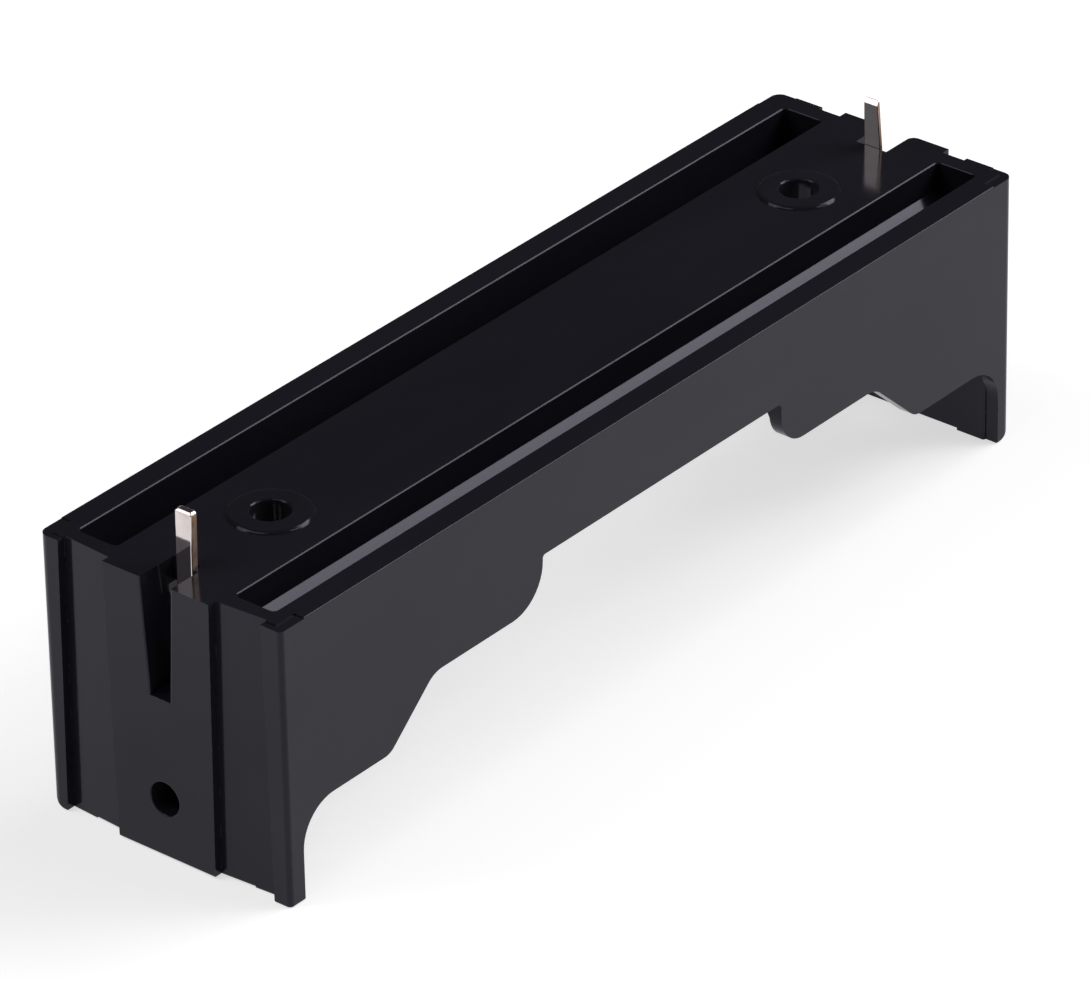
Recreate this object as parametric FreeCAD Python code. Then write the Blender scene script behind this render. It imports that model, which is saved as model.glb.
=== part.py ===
import FreeCAD, Part
import math
import os

# Cell holder for one cylindrical cell, lying mouth down.
# X runs along the cell, Y across it, Z up to the board side. Lengths in mm.

V = FreeCAD.Vector

# ---------------------------------------------------------------- dimensions
HALF_L = 38.8            # outer face of the corner posts
HALF_W = 10.33           # outer face of the side walls
H = 20.79                # top of the rims and of the slab

# end walls; where two widths are given they are (top, foot)
BLOCK_X = 39.08          # proud middle block
BLOCK_Y = (4.52, 4.15)
STRIP_X_NEAR = 38.45     # set-back strips beside the block
STRIP_X_FAR = 38.40
STRIP_Y_FAR = 6.35
PANEL_X_NEAR = 38.18     # the near strips lean back to this at the posts
POST_Y_NEAR = (8.60, 8.95)
CORNER_R = 0.36          # outer upright corner of the near post on the -Y side
CORNER_R_WIDE = 0.75     # the other three
END_IN_X = 37.13         # inner face of the end walls
INNER_CORNER_R = 0.18
FOOT_LIFT_Y = 6.90       # between these the foot stands off a little
FOOT_LIFT_NEAR = 0.10
FOOT_LIFT_FAR = 0.18

# trough that holds the cell
BAY_Y = 9.28             # inner face of the straight side walls
AXIS_Z = 9.10            # centre of the arched ceiling
ARCH_R = 10.00
SHELL_R = 10.85          # outside of the arch, floor of the long grooves
SLAB_Y = 5.06
RIM_Y = 8.36
GROOVE_X = 37.10
GROOVE_CORNER_R = 0.35

# stepped lower edge of the side walls
POST_IN_X = 37.33
LEVEL_1 = (6.75, 6.60)   # here and below: (near, far) half
LEVEL_2 = 10.73
LEVEL_3 = 14.30
SLANT_LOW_X = (28.62, 27.62)
SLANT_HIGH_X = (24.05, 23.05)
NOTCH_X = (12.86, 12.60)
R_POST = 3.05
R_SLANT_LOW = 1.5
R_SLANT_HIGH = 2.1
R_NOTCH = (3.20, 2.40)

# tapered slot and round hole in each end wall
SLOT_TOP_HALF = 1.32
SLOT_LOW_HALF = 0.84
SLOT_LOW_Z = 12.12
SLOT_IN_X_NEAR = 35.76
SLOT_IN_X_FAR = 36.10
SLOT_RIB = (36.35, 0.95)  # rib beside the near pin: face |X|, side |Y|
SLOT_MOUTH_R_NEAR = 0.12
SLOT_MOUTH_R_FAR = 0.60
HOLE_Z = 4.53
HOLE_R = 1.22
HOLE_EDGE_R = 0.10

# pad and rails on the inner face of the end walls
PAD_X = 36.45
PAD_Y = 3.40
PAD_Z = 1.80
RAIL_X = 36.20
RAIL = (3.40, 3.90, 6.50, 17.60)   # |Y| from, to, Z from, to

# screw holes and their low bosses
SCREW_X = 27.84
SCREW_R = 1.35
SCREW_MOUTH_R = 0.20     # rounded edge at the boss
SCREW_FOOT = 0.12        # chamfer at the bay side
BOSS_TOP_R = 2.61        # flat top
BOSS_H = 0.20
BOSS_EDGE = 0.40         # radius of its rounded rim

# small edge radii
RIM_EDGE_R = 0.08
GROOVE_EDGE_R = 0.14
FOOT_R = 0.15
FAR_FOOT_R = 1.60        # outer foot corner of the far posts
LEFT_FOOT_R = 1.50       # outer foot corner of the near post on the +Y side

# corner pads, a shade lower than the rims
PAD_STEP = 0.10
PAD_STEP_Y = 9.50
PAD_STEP_X = 38.28
PAD_STEP_LEN_X = 36.50

# contacts
STRIP_T = 0.30
PLATE_Y = 3.20
LEAF_Y = 2.60
PIN_NEAR_HALF = (0.71, 0.71)   # half-width at the tip and at the root
PIN_FAR_HALF = (0.58, 0.70)
PIN_NEAR_T = 0.60
PIN_FAR_T = 0.30
PIN_NEAR_Y = (-0.24, -0.15)    # middle of the tip and of the root
PIN_FAR_Y = (0.10, -0.05)
PIN_NEAR_TOP = 24.93
PIN_FAR_TOP = 24.40
PIN_NEAR_TIP = (0.14, 0.16)    # tip chamfer on the outer side: into X, along Z
PIN_FAR_TIP = (0.20, 0.34)
PIN_NEAR_EDGE = (0.10, 0.09)   # edge radii: along the pin, round its tip
PIN_FAR_EDGE = (0.06, 0.03)
FOLD_Z = 2.75
PLATE_LOW_Z = 2.20
PLATE_TOP_Z = 18.20
LEAF_APEX_X = 32.20
LEAF_APEX_Z = 9.60


# ------------------------------------------------------------------- helpers
def rounded(points, radii, close=True):
    """Wire through 2-D points, each corner rounded by its radius."""
    n = len(points)
    segs = []
    starts = []
    ends = []
    for i, (x, y) in enumerate(points):
        r = radii[i]
        if not close and i in (0, n - 1):
            starts.append((x, y))
            ends.append((x, y))
            segs.append(None)
            continue
        px, py = points[i - 1]
        nx, ny = points[(i + 1) % n]
        ax, ay = px - x, py - y
        bx, by = nx - x, ny - y
        la, lb = math.hypot(ax, ay), math.hypot(bx, by)
        ax, ay, bx, by = ax / la, ay / la, bx / lb, by / lb
        ang = math.acos(max(-1.0, min(1.0, ax * bx + ay * by)))
        if r <= 0 or abs(ang - math.pi) < 1e-6:
            starts.append((x, y))
            ends.append((x, y))
            segs.append(None)
            continue
        d = r / math.tan(ang / 2)
        s = (x + ax * d, y + ay * d)
        e = (x + bx * d, y + by * d)
        mx, my = ax + bx, ay + by
        lm = math.hypot(mx, my)
        h = r / math.sin(ang / 2)
        m = (x + mx / lm * (h - r), y + my / lm * (h - r))
        starts.append(s)
        ends.append(e)
        segs.append((s, m, e))
    return starts, ends, segs


def wire2d(points, radii, to3d, close=True):
    starts, ends, segs = rounded(points, radii, close)
    n = len(points)
    edges = []
    last = n if close else n - 1
    for i in range(n):
        if segs[i]:
            s, m, e = segs[i]
            edges.append(Part.Arc(to3d(*s), to3d(*m), to3d(*e)).toShape())
        if i < last:
            a = to3d(*ends[i])
            b = to3d(*starts[(i + 1) % n])
            if a.distanceToPoint(b) > 1e-6:
                edges.append(Part.LineSegment(a, b).toShape())
    return edges


def face_of(edges):
    return Part.Face(Part.Wire(Part.__sortEdges__(edges)))


def prism(points, radii, to3d, vec):
    return face_of(wire2d(points, radii, to3d)).extrude(vec)


def box(x0, x1, y0, y1, z0, z1):
    return Part.makeBox(x1 - x0, y1 - y0, z1 - z0, V(x0, y0, z0))


def pick(shape, test):
    out = []
    for e in shape.Edges:
        a, b = e.ParameterRange
        m = e.valueAt((a + b) / 2)
        if test(e, m):
            out.append(e)
    return out


def soften(shape, radius, test, label):
    """Round the chosen edges together, or one by one where that fails."""
    edges = pick(shape, test)
    if not edges:
        print("no edges:", label)
        return shape
    try:
        out = shape.makeFillet(radius, edges)
        if out.isValid() and out.Volume > 0:
            return out
    except Exception:
        pass
    done = 0
    mids = [e.valueAt(sum(e.ParameterRange) / 2) for e in edges]
    for p in mids:
        for e in shape.Edges:
            m = e.valueAt(sum(e.ParameterRange) / 2)
            if m.distanceToPoint(p) < 0.05:
                try:
                    out = shape.makeFillet(radius, [e])
                    if out.isValid() and out.Volume > 0:
                        shape = out
                        done += 1
                except Exception:
                    pass
                break
    print("rounded", done, "of", len(mids), label)
    return shape


def along_x(e):
    a, b = e.ParameterRange
    d = e.valueAt(b) - e.valueAt(a)
    return e.Length > 1.0 and abs(d.x) > 0.98 * e.Length


# -------------------------------------------------------------------- housing
body = box(-BLOCK_X, BLOCK_X, -HALF_W, HALF_W, 0, H)


def recess(side, face_x, inner, outer):
    """Set an end wall back to face_x between two |Y| limits, each (top, foot)."""
    out = []
    for sy in (-1, 1):
        def at(pair, z):
            return sy * (pair[1] + (pair[0] - pair[1]) * z / H)
        ya, yb, yc, yd = at(inner, -1), at(outer, -1), at(outer, H + 1), at(inner, H + 1)
        out.append(prism([(ya, -1), (yb, -1), (yc, H + 1), (yd, H + 1)], [0] * 4,
                         lambda y, z: V(side * face_x, y, z), V(side * 4, 0, 0)))
    return out


beyond = (HALF_W + 1, HALF_W + 1)
for side in (-1, 1):
    body = body.cut(recess(side, HALF_L, BLOCK_Y, beyond))
body = body.cut(recess(1, STRIP_X_FAR, BLOCK_Y, (STRIP_Y_FAR, STRIP_Y_FAR)))
lean = (STRIP_X_NEAR - PANEL_X_NEAR) / (POST_Y_NEAR[0] - BLOCK_Y[0])
for sy in (-1, 1):
    y_in, y_out = BLOCK_Y[0] - 2.0, POST_Y_NEAR[0] + 2.0
    wedge = prism([(-STRIP_X_NEAR - 2.0 * lean, sy * y_in), (-PANEL_X_NEAR + 2.0 * lean, sy * y_out),
                   (-41, sy * y_out), (-41, sy * y_in)], [0] * 4,
                  lambda x, y: V(x, y, -1), V(0, 0, H + 2))
    for piece in recess(-1, 37.0, BLOCK_Y, POST_Y_NEAR):
        if piece.CenterOfMass.y * sy > 0:
            body = body.cut(wedge.common(piece))


def upright(e):
    a, b = e.ParameterRange
    d = e.valueAt(b) - e.valueAt(a)
    return e.Length > H - 0.5 and abs(d.z) > 0.98 * e.Length


for r, near in ((CORNER_R, True), (CORNER_R_WIDE, False)):
    body = soften(body, r,
                  lambda e, m: upright(e) and abs(abs(m.x) - HALF_L) < 1e-3
                  and abs(m.y) > HALF_W - 0.1 and (m.x < 0 and m.y < 0) == near, "post corners")

# feet of the end walls and top outline, all round
def level(e, z):
    a, b = e.ParameterRange
    return abs(e.valueAt(a).z - z) < 1e-6 and abs(e.valueAt(b).z - z) < 1e-6


for s, lift in ((-1, FOOT_LIFT_NEAR), (1, FOOT_LIFT_FAR)):
    x0, x1 = sorted((s * 36.0, s * 40.0))
    body = body.cut(box(x0, x1, -FOOT_LIFT_Y, FOOT_LIFT_Y, -1, lift))
    for z in ((lift, 0) if s < 0 else (lift,)):
        body = soften(body, FOOT_R, lambda e, m: level(e, z) and s * m.x > 37.6
                      and e.Length > 0.05, "feet of an end wall")
body = soften(body, RIM_EDGE_R, lambda e, m: abs(m.z - H) < 1e-6 and e.Length > 20,
              "top outline")

# rounder foot corners of three posts
R = FAR_FOOT_R
tool = box(HALF_L - R, HALF_L + 1, -11, 11, -1, R).cut(
    Part.makeCylinder(R, 24, V(HALF_L - R, -12, R), V(0, 1, 0)))
mid = box(HALF_L - R - 1, HALF_L + 2, -STRIP_Y_FAR, STRIP_Y_FAR, -2, R + 1)
body = body.cut(tool.cut(mid))
R = LEFT_FOOT_R
tool = box(-HALF_L - 1, -37.0, HALF_W - R, HALF_W + 1, -1, R).cut(
    Part.makeCylinder(R, 4, V(-HALF_L - 1.5, HALF_W - R, R), V(1, 0, 0)))
body = body.cut(tool)

# arched bay, open downwards
t = math.sqrt(ARCH_R ** 2 - BAY_Y ** 2)
spring_z = AXIS_Z + t
bay_edges = [
    Part.LineSegment(V(-END_IN_X, -BAY_Y, -1), V(-END_IN_X, -BAY_Y, spring_z)).toShape(),
    Part.Arc(V(-END_IN_X, -BAY_Y, spring_z), V(-END_IN_X, 0, AXIS_Z + ARCH_R),
             V(-END_IN_X, BAY_Y, spring_z)).toShape(),
    Part.LineSegment(V(-END_IN_X, BAY_Y, spring_z), V(-END_IN_X, BAY_Y, -1)).toShape(),
    Part.LineSegment(V(-END_IN_X, BAY_Y, -1), V(-END_IN_X, -BAY_Y, -1)).toShape(),
]
bay = Part.Face(Part.Wire(bay_edges)).extrude(V(2 * END_IN_X, 0, 0))
body = body.cut(bay)

# pad and rails on the inner faces of the end walls
for s in (-1, 1):
    adds = []
    x0, x1 = sorted((s * PAD_X, s * (END_IN_X + 0.5)))
    adds.append(box(x0, x1, -PAD_Y, PAD_Y, PAD_Z, AXIS_Z + ARCH_R + 0.3))
    x0, x1 = sorted((s * RAIL_X, s * (END_IN_X + 0.5)))
    y0, y1, z0, z1 = RAIL
    adds.append(box(x0, x1, y0, y1, z0, z1))
    adds.append(box(x0, x1, -y1, -y0, z0, z1))
    body = body.fuse(adds)
body = body.removeSplitter()

# stepped cut-outs for the fingers in both side walls
def half_profile(i):
    return [(NOTCH_X[i], LEVEL_3, 0.25), (NOTCH_X[i], LEVEL_2, R_NOTCH[i]),
            (SLANT_HIGH_X[i], LEVEL_2, R_SLANT_HIGH),
            (SLANT_LOW_X[i], LEVEL_1[i], R_SLANT_LOW),
            (POST_IN_X, LEVEL_1[i], R_POST), (POST_IN_X, -1.0, 0)]


prof = [(-x, z, r) for x, z, r in reversed(half_profile(0))] + half_profile(1)


def cutout(y0, y1, limit=None):
    c = prism([(p[0], p[1]) for p in prof], [p[2] for p in prof],
              lambda x, z: V(x, y0, z), V(0, y1 - y0, 0))
    if limit:
        c = c.common(box(-limit, limit, y0 - 1, y1 + 1, -2, H))
    return c


for s in (-1, 1):
    a, b = sorted((s * BAY_Y, s * (HALF_W + 1)))
    body = body.cut(cutout(a, b))
    a, b = sorted((s * 8.0, s * (BAY_Y + 0.01)))
    body = body.cut(cutout(a, b, 30.0))

# two long grooves between the slab and the rims
g5 = AXIS_Z + math.sqrt(SHELL_R ** 2 - SLAB_Y ** 2)
g8 = AXIS_Z + math.sqrt(SHELL_R ** 2 - RIM_Y ** 2)
gm_y = (SLAB_Y + RIM_Y) / 2
gm = AXIS_Z + math.sqrt(SHELL_R ** 2 - gm_y ** 2)
for s in (-1, 1):
    x = -GROOVE_X
    ed = [Part.LineSegment(V(x, s * SLAB_Y, H + 1), V(x, s * SLAB_Y, g5)).toShape(),
          Part.Arc(V(x, s * SLAB_Y, g5), V(x, s * gm_y, gm), V(x, s * RIM_Y, g8)).toShape(),
          Part.LineSegment(V(x, s * RIM_Y, g8), V(x, s * RIM_Y, H + 1)).toShape(),
          Part.LineSegment(V(x, s * RIM_Y, H + 1), V(x, s * SLAB_Y, H + 1)).toShape()]
    groove = Part.Face(Part.Wire(ed)).extrude(V(2 * GROOVE_X, 0, 0))
    lo, hi = sorted((s * SLAB_Y, s * RIM_Y))
    plan = prism([(-GROOVE_X, lo), (GROOVE_X, lo), (GROOVE_X, hi), (-GROOVE_X, hi)],
                 [GROOVE_CORNER_R] * 4, lambda px, py: V(px, py, 0), V(0, 0, H + 2))
    body = body.cut(groove.common(plan))

# low bosses and screw holes
def turned(points, arc, x):
    """Solid turned about an upright axis at x, from (r, z) points; arc = (start, middle, end)."""
    at = [V(x + r, 0, z) for r, z in points]
    ed = [Part.Arc(*[V(x + r, 0, z) for r, z in arc]).toShape()]
    ed += [Part.LineSegment(p, q).toShape() for p, q in zip(at, at[1:])]
    return face_of(ed).revolve(V(x, 0, 0), V(0, 0, 1), 360)


top = H + BOSS_H
turn = math.acos(1 - BOSS_H / BOSS_EDGE)
foot = (BOSS_TOP_R + BOSS_EDGE * math.sin(turn), H)
half = (BOSS_TOP_R + BOSS_EDGE * math.sin(turn / 2), top - BOSS_EDGE * (1 - math.cos(turn / 2)))
for s in (-1, 1):
    boss = turned([foot, (foot[0], H - 0.6), (0, H - 0.6), (0, top), (BOSS_TOP_R, top)],
                  [(BOSS_TOP_R, top), half, foot], s * SCREW_X)
    body = body.fuse(boss)
body = body.removeSplitter()
m = SCREW_MOUTH_R
q = m * (1 - math.sqrt(0.5))
for s in (-1, 1):
    c = V(s * SCREW_X, 0, 0)
    hole = Part.makeCylinder(SCREW_R, 6, c + V(0, 0, 16.5))
    mouth = turned([(SCREW_R + m, top), (SCREW_R + m, top + 0.5), (0, top + 0.5),
                    (0, top - m), (SCREW_R, top - m)],
                   [(SCREW_R, top - m), (SCREW_R + q, top - q), (SCREW_R + m, top)], s * SCREW_X)
    z = AXIS_Z + ARCH_R - 0.1
    flare = Part.makeCone(SCREW_R + SCREW_FOOT + 0.1, SCREW_R, SCREW_FOOT + 0.1, c + V(0, 0, z))
    body = body.cut([hole, mouth, flare])

# tapered slots, open to the board side, and the round holes
for s, inner in ((-1, SLOT_IN_X_NEAR), (1, SLOT_IN_X_FAR)):
    k = (SLOT_TOP_HALF - SLOT_LOW_HALF) / (H - SLOT_LOW_Z)
    top_half = SLOT_TOP_HALF + k * 1.0
    x0 = s * inner
    slot = prism([(-SLOT_LOW_HALF, SLOT_LOW_Z), (SLOT_LOW_HALF, SLOT_LOW_Z),
                  (top_half, H + 1.0), (-top_half, H + 1.0)], [0.12, 0.12, 0, 0],
                 lambda y, z: V(x0, y, z), V(s * 6, 0, 0))
    if s < 0:
        slot = slot.cut(box(-SLOT_RIB[0], -SLOT_RIB[0] + 2, -3, -SLOT_RIB[1], SLOT_LOW_Z - 1, H + 3))
    body = body.cut(slot)
    r = SLOT_MOUTH_R_NEAR if s < 0 else SLOT_MOUTH_R_FAR
    for sy in (-1, 1):
        # rounded mouth edge, along the slanted side of the slot
        h = SLOT_LOW_HALF - k * 1.0
        z = SLOT_LOW_Z - 1.0
        q = r * (1 - math.sqrt(0.5))
        a = V(s * (BLOCK_X - r), sy * h, z)
        b = V(s * BLOCK_X, sy * (h + r), z)
        m = V(s * (BLOCK_X - q), sy * (h + q), z)
        b2 = V(s * (BLOCK_X + 0.3), sy * (h + r), z)
        c2 = V(s * (BLOCK_X + 0.3), sy * (h - 0.3), z)
        a2 = V(s * (BLOCK_X - r), sy * (h - 0.3), z)
        ed = [Part.Arc(a, m, b).toShape(), Part.LineSegment(b, b2).toShape(),
              Part.LineSegment(b2, c2).toShape(), Part.LineSegment(c2, a2).toShape(),
              Part.LineSegment(a2, a).toShape()]
        rise = H + 1 - z
        tool = Part.Face(Part.Wire(ed)).extrude(V(0, sy * k * rise, rise))
        body = body.cut(tool.common(box(-45, 45, -5, 5, SLOT_LOW_Z, H + 2)))
    bore = Part.makeCylinder(HOLE_R, 6, V(s * (END_IN_X - 1.5), 0, HOLE_Z), V(s, 0, 0))
    body = body.cut(bore)
body = soften(body, HOLE_EDGE_R,
              lambda e, m: abs(abs(m.x) - BLOCK_X) < 1e-3 and e.Curve.TypeId == "Part::GeomCircle"
              and abs(e.Curve.Radius - HOLE_R) < 1e-3, "holes in the end walls")

# corner pads, a shade lower than the rims
for sx in (-1, 1):
    for sy in (-1, 1):
        xa, xb = sorted((sx * PAD_STEP_LEN_X, sx * 40))
        ya, yb = sorted((sy * PAD_STEP_Y, sy * 11))
        c1 = box(xa, xb, ya, yb, H - PAD_STEP, H + 1)
        xa, xb = sorted((sx * PAD_STEP_X, sx * 40))
        ya, yb = sorted((sy * POST_Y_NEAR[0], sy * 11))
        c2 = box(xa, xb, ya, yb, H - PAD_STEP, H + 1)
        body = body.cut(c1.fuse(c2))

# small edge radii
body = soften(body, GROOVE_EDGE_R,
              lambda e, m: along_x(e) and abs(m.z - H) < 1e-3
              and abs(abs(m.y) - SLAB_Y) < 1e-3, "groove mouths")
body = soften(body, INNER_CORNER_R,
              lambda e, m: abs(abs(m.x) - END_IN_X) < 1e-3 and abs(abs(m.y) - BAY_Y) < 1e-3
              and e.Length > 2, "inner corners beside the posts")

body = body.removeSplitter()
housing = body.Solids[0]
print("housing solids", len(body.Solids), "valid", housing.isValid(),
      "volume", round(housing.Volume, 1))


# ------------------------------------------------------------------- contacts
def strip_face(points, radii, t, y):
    """Bent strip of thickness t along a centre line of (x, z) points."""
    n = len(points)
    sides = []
    for sign in (1, -1):
        off = []
        for i in range(n):
            dirs = []
            if i > 0:
                dx, dz = points[i][0] - points[i - 1][0], points[i][1] - points[i - 1][1]
                d = math.hypot(dx, dz)
                dirs.append((dx / d, dz / d))
            if i < n - 1:
                dx, dz = points[i + 1][0] - points[i][0], points[i + 1][1] - points[i][1]
                d = math.hypot(dx, dz)
                dirs.append((dx / d, dz / d))
            if len(dirs) == 1:
                nx, nz = -dirs[0][1], dirs[0][0]
                off.append((points[i][0] + sign * nx * t / 2,
                            points[i][1] + sign * nz * t / 2, 0))
                continue
            n1 = (-dirs[0][1], dirs[0][0])
            n2 = (-dirs[1][1], dirs[1][0])
            bx, bz = n1[0] + n2[0], n1[1] + n2[1]
            k = (bx * bx + bz * bz) / 2
            ox, oz = bx / k * t / 2, bz / k * t / 2
            cross = dirs[0][0] * dirs[1][1] - dirs[0][1] * dirs[1][0]
            turn = 1 if cross > 0 else -1
            off.append((points[i][0] + sign * ox, points[i][1] + sign * oz,
                        radii[i] - sign * turn * t / 2))
        sides.append(off)
    loop = sides[0] + sides[1][::-1]
    return face_of(wire2d([(p[0], p[1]) for p in loop], [max(p[2], 0) for p in loop],
                          lambda a, b: V(a, y, b)))


def contact(s, pin_half, pin_y, pin_top, pin_t, tip_r, tip_cut, edge_r):
    """s = -1 for the near end, 1 for the far end. Built at +X, then mirrored."""
    xc = PAD_X - STRIP_T / 2 - 0.01
    line = [(xc, PLATE_TOP_Z), (xc, FOLD_Z), (xc - 1.55, FOLD_Z),
            (LEAF_APEX_X + 0.15, LEAF_APEX_Z), (LEAF_APEX_X + 1.35, 13.6),
            (LEAF_APEX_X + 2.15, 14.2)]
    radii = [0, 0.62, 0.62, 2.4, 0.7, 0]
    spring = strip_face(line, radii, STRIP_T, -LEAF_Y).extrude(V(0, 2 * LEAF_Y, 0))
    x0, x1 = xc - STRIP_T / 2, xc + STRIP_T / 2
    plate = prism([(-PLATE_Y, PLATE_LOW_Z), (PLATE_Y, PLATE_LOW_Z),
                   (PLATE_Y, 17.3), (2.3, PLATE_TOP_Z), (-2.3, PLATE_TOP_Z),
                   (-PLATE_Y, 17.3)], [0.3, 0.3, 0.2, 0.2, 0.2, 0.2],
                  lambda y, z: V(x0, y, z), V(STRIP_T, 0, 0))
    # solder pin, cut square at the tip
    xa = x1 - pin_t
    tip, root = pin_half
    z0, zr = PLATE_TOP_Z - 1.0, H
    yt, yr = pin_y
    pin = prism([(yr - root, z0), (yr + root, z0), (yr + root, zr),
                 (yt + tip, pin_top), (yt - tip, pin_top), (yr - root, zr)],
                [0, 0, 2.0, tip_r, tip_r, 2.0],
                lambda y, z: V(xa, y, z), V(pin_t, 0, 0))
    # coined tip: the outer side at the near end, the inner side at the far end
    dx, dz = tip_cut
    if s < 0:
        pts = [(x1 - dx, pin_top), (x1, pin_top - dz), (x1 + 1, pin_top - dz), (x1 + 1, pin_top + 1),
               (x1 - dx, pin_top + 1)]
    else:
        pts = [(xa + dx, pin_top), (xa, pin_top - dz), (xa - 1, pin_top - dz), (xa - 1, pin_top + 1),
               (xa + dx, pin_top + 1)]
    pin = pin.cut(prism(pts, [0] * 5, lambda x, z: V(x, -3, z), V(0, 6, 0)))
    edge_r, top_r = edge_r
    pin = soften(pin, edge_r, lambda e, m: e.Length > 2.0 and m.z > zr - 3, "pin edges")
    pin = soften(pin, top_r, lambda e, m: abs(m.z - pin_top) < 1e-4 and e.Length > 0.05, "pin top")
    solid = spring.fuse([plate, pin]).removeSplitter()
    # lanced hollow where the end wall's hole shows the plate
    dimple = Part.makeCylinder(0.9, 0.12, V(x1 - 0.12, 0, HOLE_Z), V(1, 0, 0))
    solid = solid.cut(dimple)
    if s < 0:
        solid = solid.mirror(V(0, 0, 0), V(1, 0, 0))
    return solid.Solids[0]


near = contact(-1, PIN_NEAR_HALF, PIN_NEAR_Y, PIN_NEAR_TOP, PIN_NEAR_T, 0.25, PIN_NEAR_TIP,
               PIN_NEAR_EDGE)
far = contact(1, PIN_FAR_HALF, PIN_FAR_Y, PIN_FAR_TOP, PIN_FAR_T, 0.12, PIN_FAR_TIP,
              PIN_FAR_EDGE)
print("near", near.isValid(), round(near.Volume, 2), "far", far.isValid(),
      round(far.Volume, 2))

os.makedirs("parts", exist_ok=True)
housing.exportStep("parts/housing.step")
near.exportStep("parts/contact_near.step")
far.exportStep("parts/contact_far.step")
bb = housing.BoundBox
print("housing box", [round(v, 3) for v in (bb.XMin, bb.XMax, bb.YMin, bb.YMax, bb.ZMin, bb.ZMax)])
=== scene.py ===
import math

import bpy
from mathutils import Matrix, Vector


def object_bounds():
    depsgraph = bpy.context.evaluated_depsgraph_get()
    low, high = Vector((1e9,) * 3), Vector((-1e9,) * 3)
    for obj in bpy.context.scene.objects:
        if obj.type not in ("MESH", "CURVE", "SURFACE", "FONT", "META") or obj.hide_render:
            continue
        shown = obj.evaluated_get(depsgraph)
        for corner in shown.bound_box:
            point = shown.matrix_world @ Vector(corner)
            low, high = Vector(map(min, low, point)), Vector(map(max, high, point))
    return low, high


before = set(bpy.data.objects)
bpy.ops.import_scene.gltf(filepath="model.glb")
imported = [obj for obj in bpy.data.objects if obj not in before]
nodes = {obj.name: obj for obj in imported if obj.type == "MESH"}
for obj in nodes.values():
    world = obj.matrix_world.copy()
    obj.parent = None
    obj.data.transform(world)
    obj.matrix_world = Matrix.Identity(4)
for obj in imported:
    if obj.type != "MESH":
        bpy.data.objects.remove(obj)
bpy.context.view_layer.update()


def new_material(name):
    m = bpy.data.materials.new(name)
    m.use_nodes = True
    t = m.node_tree
    t.nodes.clear()
    out = t.nodes.new("ShaderNodeOutputMaterial")
    bsdf = t.nodes.new("ShaderNodeBsdfPrincipled")
    t.links.new(bsdf.outputs["BSDF"], out.inputs["Surface"])
    return m, t, bsdf


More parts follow.
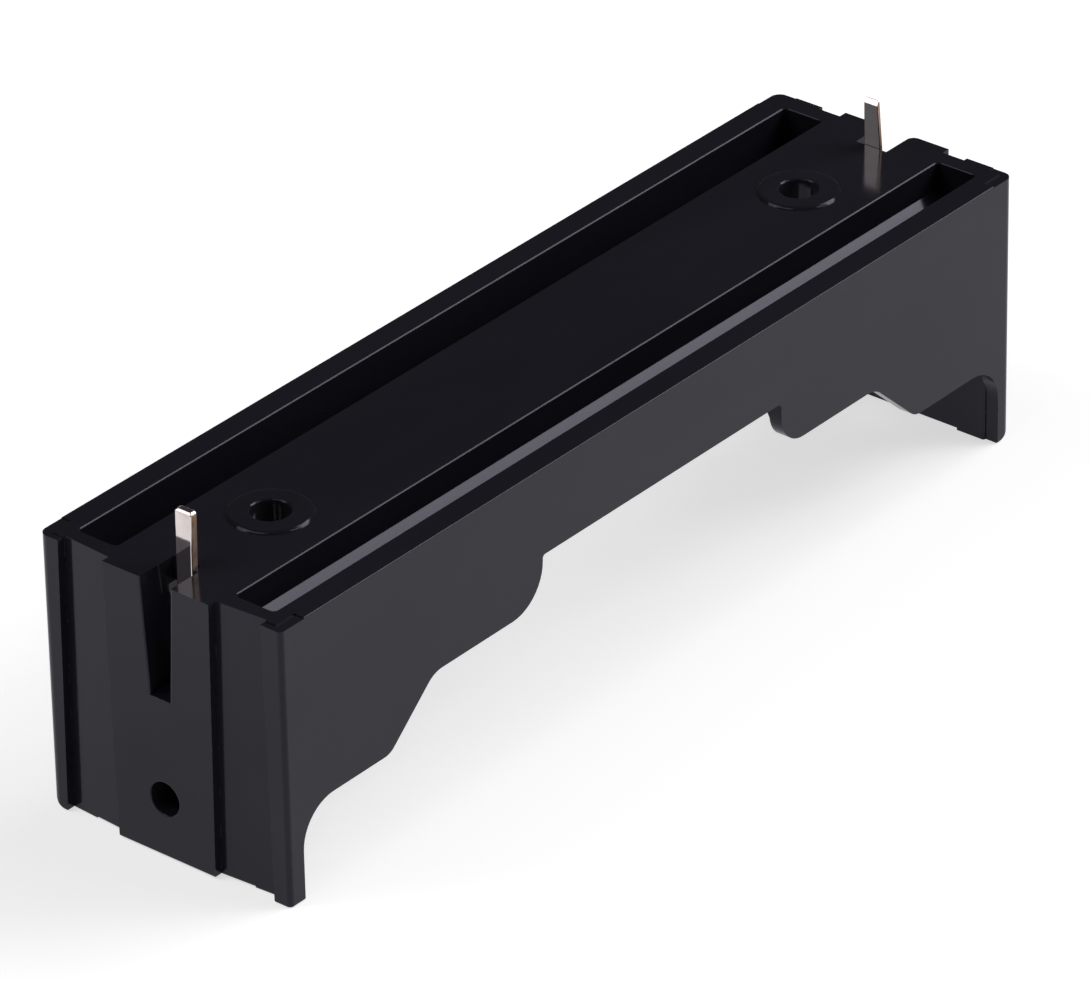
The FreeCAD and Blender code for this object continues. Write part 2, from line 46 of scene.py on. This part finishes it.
class Net:
    """Short way to write node networks."""

    def __init__(self, tree):
        self.t = tree
        self.coord = tree.nodes.new("ShaderNodeTexCoord").outputs["Object"]

    def link(self, a, b):
        self.t.links.new(a, b)

    def mapping(self, scale=(1, 1, 1), rot=(0, 0, 0), loc=(0, 0, 0)):
        n = self.t.nodes.new("ShaderNodeMapping")
        n.inputs["Scale"].default_value = scale
        n.inputs["Rotation"].default_value = rot
        n.inputs["Location"].default_value = loc
        self.link(self.coord, n.inputs["Vector"])
        return n.outputs["Vector"]

    def noise(self, scale, detail=3.0, rough=0.5, vec=None, distortion=0.0):
        n = self.t.nodes.new("ShaderNodeTexNoise")
        n.inputs["Scale"].default_value = scale
        n.inputs["Detail"].default_value = detail
        n.inputs["Roughness"].default_value = rough
        n.inputs["Distortion"].default_value = distortion
        self.link(vec if vec is not None else self.coord, n.inputs["Vector"])
        return n.outputs["Fac"]

    def voronoi(self, scale, vec=None, feature="F1", randomness=1.0):
        n = self.t.nodes.new("ShaderNodeTexVoronoi")
        n.feature = feature
        n.inputs["Scale"].default_value = scale
        n.inputs["Randomness"].default_value = randomness
        self.link(vec if vec is not None else self.coord, n.inputs["Vector"])
        return n

    def ramp(self, fac, stops):
        n = self.t.nodes.new("ShaderNodeValToRGB")
        el = n.color_ramp.elements
        while len(el) > 1:
            el.remove(el[-1])
        el[0].position = stops[0][0]
        el[0].color = col(stops[0][1])
        for p, c in stops[1:]:
            e = el.new(p)
            e.color = col(c)
        self.link(fac, n.inputs["Fac"])
        return n.outputs["Color"]

    def range(self, v, a, b, c, d, smooth=False):
        n = self.t.nodes.new("ShaderNodeMapRange")
        n.clamp = True
        if smooth:
            n.interpolation_type = "SMOOTHSTEP"
        n.inputs["From Min"].default_value = a
        n.inputs["From Max"].default_value = b
        n.inputs["To Min"].default_value = c
        n.inputs["To Max"].default_value = d
        self.link(v, n.inputs["Value"])
        return n.outputs["Result"]

    def math(self, op, a, b=None, c=None, clamp=False):
        n = self.t.nodes.new("ShaderNodeMath")
        n.operation = op
        n.use_clamp = clamp
        for i, v in enumerate((a, b, c)):
            if v is None:
                continue
            if isinstance(v, (int, float)):
                n.inputs[i].default_value = v
            else:
                self.link(v, n.inputs[i])
        return n.outputs[0]

    def mix(self, fac, a, b):
        n = self.t.nodes.new("ShaderNodeMix")
        n.data_type = "RGBA"
        if isinstance(fac, (int, float)):
            n.inputs[0].default_value = fac
        else:
            self.link(fac, n.inputs[0])
        for s, v in ((6, a), (7, b)):
            if isinstance(v, (tuple, list)):
                n.inputs[s].default_value = col(v)
            else:
                self.link(v, n.inputs[s])
        return n.outputs[2]

    def bump(self, height, strength, distance, normal=None):
        n = self.t.nodes.new("ShaderNodeBump")
        n.inputs["Strength"].default_value = strength
        n.inputs["Distance"].default_value = distance
        self.link(height, n.inputs["Height"])
        if normal is not None:
            self.link(normal, n.inputs["Normal"])
        return n.outputs["Normal"]

    def geometry(self, name):
        n = self.t.nodes.new("ShaderNodeNewGeometry")
        return n.outputs[name]

    def split(self, vec):
        n = self.t.nodes.new("ShaderNodeSeparateXYZ")
        self.link(vec, n.inputs[0])
        return n.outputs


def col(c):
    if isinstance(c, (int, float)):
        return (c, c, c, 1.0)
    return tuple(c) + (1.0,) * (4 - len(c))


# ---------------------------------------------------------- moulded plastic
def edge_mask(n, radius, lo, hi):
    """1 on outer edges, 0 on flats, from how far a bevelled normal turns."""
    bev = n.t.nodes.new("ShaderNodeBevel")
    bev.samples = 4
    bev.inputs["Radius"].default_value = radius
    dot = n.t.nodes.new("ShaderNodeVectorMath")
    dot.operation = "DOT_PRODUCT"
    n.link(bev.outputs["Normal"], dot.inputs[0])
    n.link(n.geometry("Normal"), dot.inputs[1])
    return n.range(dot.outputs["Value"], hi, lo, 0.0, 1.0, True)


def black_plastic():
    m, t, b = new_material("moulded_black_plastic")
    n = Net(t)

    # slow changes of tone along the flow of the moulding
    flow_vec = n.mapping(scale=(0.30, 1.0, 1.0))
    flow = n.noise(130.0, 4.0, 0.55, flow_vec, 0.6)
    tone = n.ramp(flow, [(0.28, (0.0094, 0.0090, 0.0128)),
                         (0.52, (0.0109, 0.0105, 0.0146)),
                         (0.78, (0.0129, 0.0125, 0.0170))])

    # dust and tiny light specks, in patches
    specks = n.voronoi(640.0)
    near = n.range(specks.outputs["Distance"], 0.035, 0.085, 1.0, 0.0, True)
    pick = n.split(specks.outputs["Color"])
    few = n.math("GREATER_THAN", pick[0], 0.972)
    patches = n.range(n.noise(75.0, 2.0, 0.5), 0.46, 0.68, 0.05, 1.0, True)
    dust = n.math("MULTIPLY", n.math("MULTIPLY", near, few), patches)

    # a few short fibres
    fibre_vec = n.mapping(scale=(0.16, 1.0, 1.0), rot=(0.3, 0.5, 0.9))
    fibre = n.voronoi(420.0, fibre_vec)
    thin = n.range(fibre.outputs["Distance"], 0.012, 0.030, 1.0, 0.0, True)
    rare = n.math("GREATER_THAN", n.split(fibre.outputs["Color"])[1], 0.985)
    fibres = n.math("MULTIPLY", thin, rare)

    # outer edges rubbed a little, in places, with painted glints: the base colour is lightened
    # along them
    rim = edge_mask(n, 0.00012, 0.92, 0.99)
    rubbed_and_glint_patches = n.range(n.noise(640.0, 4.0, 0.62), 0.53, 0.66, 0.0, 1.0, True)
    rubbed_edge_and_glint = n.math("MULTIPLY", rim, rubbed_and_glint_patches)

    # painted glints and rubbed wear: lighter base colour on the outer edges
    c = n.mix(n.math("MULTIPLY", rubbed_edge_and_glint, 0.50), tone, (0.060, 0.058, 0.064))
    c = n.mix(n.math("MULTIPLY", dust, 0.50), c, (0.15, 0.145, 0.14))
    c = n.mix(n.math("MULTIPLY", fibres, 0.35), c, (0.12, 0.12, 0.125))
    n.link(c, b.inputs["Base Color"])

    # gloss: polished mould, faint handling marks, hairline scratches
    smudge = n.range(n.noise(90.0, 4.0, 0.6, None, 1.3), 0.38, 0.68, 0.0, 1.0, True)
    hair_vec = n.mapping(scale=(0.05, 1.0, 1.6), rot=(0.0, 0.05, 0.03))
    hair = n.range(n.noise(2600.0, 2.0, 0.5, hair_vec), 0.67, 0.77, 0.0, 1.0)
    rough = n.math("MULTIPLY_ADD", smudge, 0.050, 0.115)
    rough = n.math("MULTIPLY_ADD", hair, 0.07, rough)
    rough = n.math("MULTIPLY_ADD", rim, 0.10, rough)
    rough = n.math("MULTIPLY_ADD", rubbed_edge_and_glint, 0.14, rough)
    rough = n.math("MULTIPLY_ADD", dust, 0.35, rough, clamp=True)
    n.link(rough, b.inputs["Roughness"])

    # surface: faint moulding waviness, fine skin, hairlines
    wave = n.noise(85.0, 2.0, 0.5)
    skin = n.noise(5200.0, 2.0, 0.6)
    bump = n.bump(wave, 0.10, 0.0005)
    bump = n.bump(skin, 0.05, 0.00002, bump)
    bump = n.bump(n.math("MULTIPLY", hair, -1.0), 0.08, 0.00001, bump)
    bump = n.bump(n.math("MAXIMUM", dust, fibres), 0.4, 0.00003, bump)
    n.link(bump, b.inputs["Normal"])

    b.inputs["IOR"].default_value = 1.306
    b.inputs["Specular Tint"].default_value = (0.80, 0.775, 0.98, 1.0)
    b.inputs["Metallic"].default_value = 0.0
    return m


# ------------------------------------------------------- plated spring strip
def plated_strip():
    m, t, b = new_material("nickel_plated_strip")
    n = Net(t)

    grain_vec = n.mapping(scale=(1.0, 1.0, 0.05))
    grain = n.noise(9000.0, 2.0, 0.6, grain_vec)
    cloud = n.noise(900.0, 4.0, 0.6)
    stain = n.range(n.noise(420.0, 4.0, 0.6, None, 0.8), 0.52, 0.74, 0.0, 1.0, True)

    base = n.ramp(cloud, [(0.30, (0.62, 0.565, 0.545)), (0.55, (0.69, 0.635, 0.615)),
                          (0.80, (0.75, 0.705, 0.685))])
    base = n.mix(n.math("MULTIPLY", stain, 0.30), base, (0.47, 0.39, 0.33))

    # sheared edges: the bare warm metal shows through the thin plating
    normal = n.split(n.geometry("Normal"))
    side = n.math("ABSOLUTE", normal[1])
    sheared = n.range(side, 0.80, 0.97, 0.0, 1.0, True)
    band = n.noise(1500.0, 4.0, 0.65, n.mapping(scale=(1.0, 1.0, 0.45)))
    bare = n.ramp(band, [(0.30, (0.17, 0.085, 0.042)), (0.52, (0.30, 0.17, 0.095)),
                         (0.74, (0.46, 0.32, 0.22))])
    base = n.mix(n.math("MULTIPLY", sheared, 0.90), base, bare)
    n.link(base, b.inputs["Base Color"])
    n.link(n.math("MULTIPLY_ADD", sheared, -0.45, 1.0), b.inputs["Metallic"])

    rim = edge_mask(n, 0.00008, 0.93, 0.995)
    rough = n.math("MULTIPLY_ADD", grain, 0.06, 0.035)
    rough = n.math("MULTIPLY_ADD", stain, 0.07, rough)
    rough = n.math("MULTIPLY_ADD", rim, 0.10, rough)
    rough = n.math("MULTIPLY_ADD", sheared, 0.30, rough, clamp=True)
    n.link(rough, b.inputs["Roughness"])

    torn = n.noise(3800.0, 3.0, 0.6, n.mapping(scale=(0.35, 1.0, 1.0)))
    bump = n.bump(grain, 0.06, 0.00001)
    bump = n.bump(n.noise(1100.0, 2.0, 0.5), 0.05, 0.00003, bump)
    bump = n.bump(n.math("MULTIPLY", torn, sheared), 0.5, 0.00003, bump)
    n.link(bump, b.inputs["Normal"])
    return m


def dress(obj, mat):
    if not obj.material_slots:
        obj.data.materials.append(mat)
    for s in obj.material_slots:
        s.material = mat


plastic = black_plastic()
strip = plated_strip()
dress(nodes["housing"], plastic)
dress(nodes["contact_near"], strip)
dress(nodes["contact_far"], strip)


# -------------------------------------------------------------------- stage
def floor():
    me = bpy.data.meshes.new("studio_floor")
    s = 6.0
    me.from_pydata([(-s, -s, 0), (s, -s, 0), (s, s, 0), (-s, s, 0)], [], [(0, 1, 2, 3)])
    o = bpy.data.objects.new("studio_floor", me)
    bpy.context.scene.collection.objects.link(o)
    o.location.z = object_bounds()[0][2] - 0.00002
    m, t, b = new_material("pale_table")
    n = Net(t)
    tone = n.ramp(n.noise(9.0, 3.0, 0.5), [(0.3, (0.59, 0.59, 0.59)), (0.7, (0.61, 0.61, 0.61))])
    n.link(tone, b.inputs["Base Color"])
    b.inputs["Roughness"].default_value = 0.9
    b.inputs["Specular IOR Level"].default_value = 0.1
    b.inputs["Emission Color"].default_value = (1.0, 1.0, 1.0, 1.0)
    b.inputs["Emission Strength"].default_value = 0.64
    me.materials.append(m)


floor()


def soft_box(name, direction, along, distance, size, radiance, color=(1, 1, 1)):
    """Rectangle that faces the object; its long side runs the way of along."""
    d = Vector(direction).normalized()
    u = Vector(along)
    u = (u - u.dot(d) * d).normalized()
    v = d.cross(u)
    li = bpy.data.lights.new(name, "AREA")
    li.shape = "RECTANGLE"
    li.size, li.size_y = size
    li.energy = radiance * math.pi * size[0] * size[1]
    li.color = color
    o = bpy.data.objects.new(name, li)
    bpy.context.scene.collection.objects.link(o)
    p = Vector((0, 0, 0.012)) + d * distance
    o.matrix_world = Matrix(((u.x, v.x, d.x, p.x), (u.y, v.y, d.y, p.y),
                             (u.z, v.z, d.z, p.z), (0, 0, 0, 1)))
    return o


soft_box("soft_box_left", (-0.50, 0.555, 0.664), (0.8, 0.0, 0.6), 1.3, (1.25, 0.52), 1.95,
         (1.0, 0.99, 0.985))
soft_box("soft_box_right", (0.69, -0.39, 0.605), (0.0, 0.84, 0.54), 1.3, (1.35, 0.50), 5.5,
         (0.985, 0.985, 1.0))
soft_box("soft_box_left_top", (-0.44, 0.20, 0.83), (0.0, -0.96, 0.27), 1.3, (0.90, 0.42), 2.0,
         (1.0, 0.99, 0.985))
soft_box("soft_box_right_top", (0.40, -0.57, 0.72), (-0.86, -0.14, 0.48), 1.3, (0.62, 0.42), 3.2,
         (0.985, 0.985, 1.0))

world = bpy.data.worlds.new("studio_dim")
bpy.context.scene.world = world
world.use_nodes = True
bg = world.node_tree.nodes["Background"]
bg.inputs["Color"].default_value = (0.048, 0.0465, 0.057, 1.0)
bg.inputs["Strength"].default_value = 1.0


# ------------------------------------------------------------------- camera
def camera():
    az, el, roll = math.radians(-50.206), math.radians(30.139), math.radians(-1.085)
    back = Vector((math.sin(az) * math.cos(el), -math.cos(az) * math.cos(el), math.sin(el)))
    fwd = -back
    right = fwd.cross(Vector((0, 0, 1))).normalized()
    up = right.cross(fwd)
    c, s = math.cos(roll), math.sin(roll)
    row0 = c * right - s * (-up)
    row1 = s * right + c * (-up)
    t = Vector((0.000057, -0.001382, 0.55695))
    centre = -(row0 * t.x + row1 * t.y + fwd * t.z) + Vector((0, 0, 0.010395))
    cam = bpy.data.cameras.new("camera")
    cam.sensor_fit = "HORIZONTAL"
    cam.sensor_width = 36.0
    cam.lens = 8262.5 / 1090.0 * 36.0
    cam.clip_start, cam.clip_end = 0.01, 50.0
    cam.dof.use_dof = False
    o = bpy.data.objects.new("camera", cam)
    bpy.context.scene.collection.objects.link(o)
    x, y, z = row0, -row1, -fwd
    o.matrix_world = Matrix(((x.x, y.x, z.x, centre.x), (x.y, y.y, z.y, centre.y),
                             (x.z, y.z, z.z, centre.z), (0, 0, 0, 1)))
    bpy.context.scene.camera = o


camera()

scene = bpy.context.scene
scene.view_settings.view_transform = "Standard"
scene.view_settings.look = "None"
scene.view_settings.exposure = 0.0
scene.view_settings.gamma = 1.0
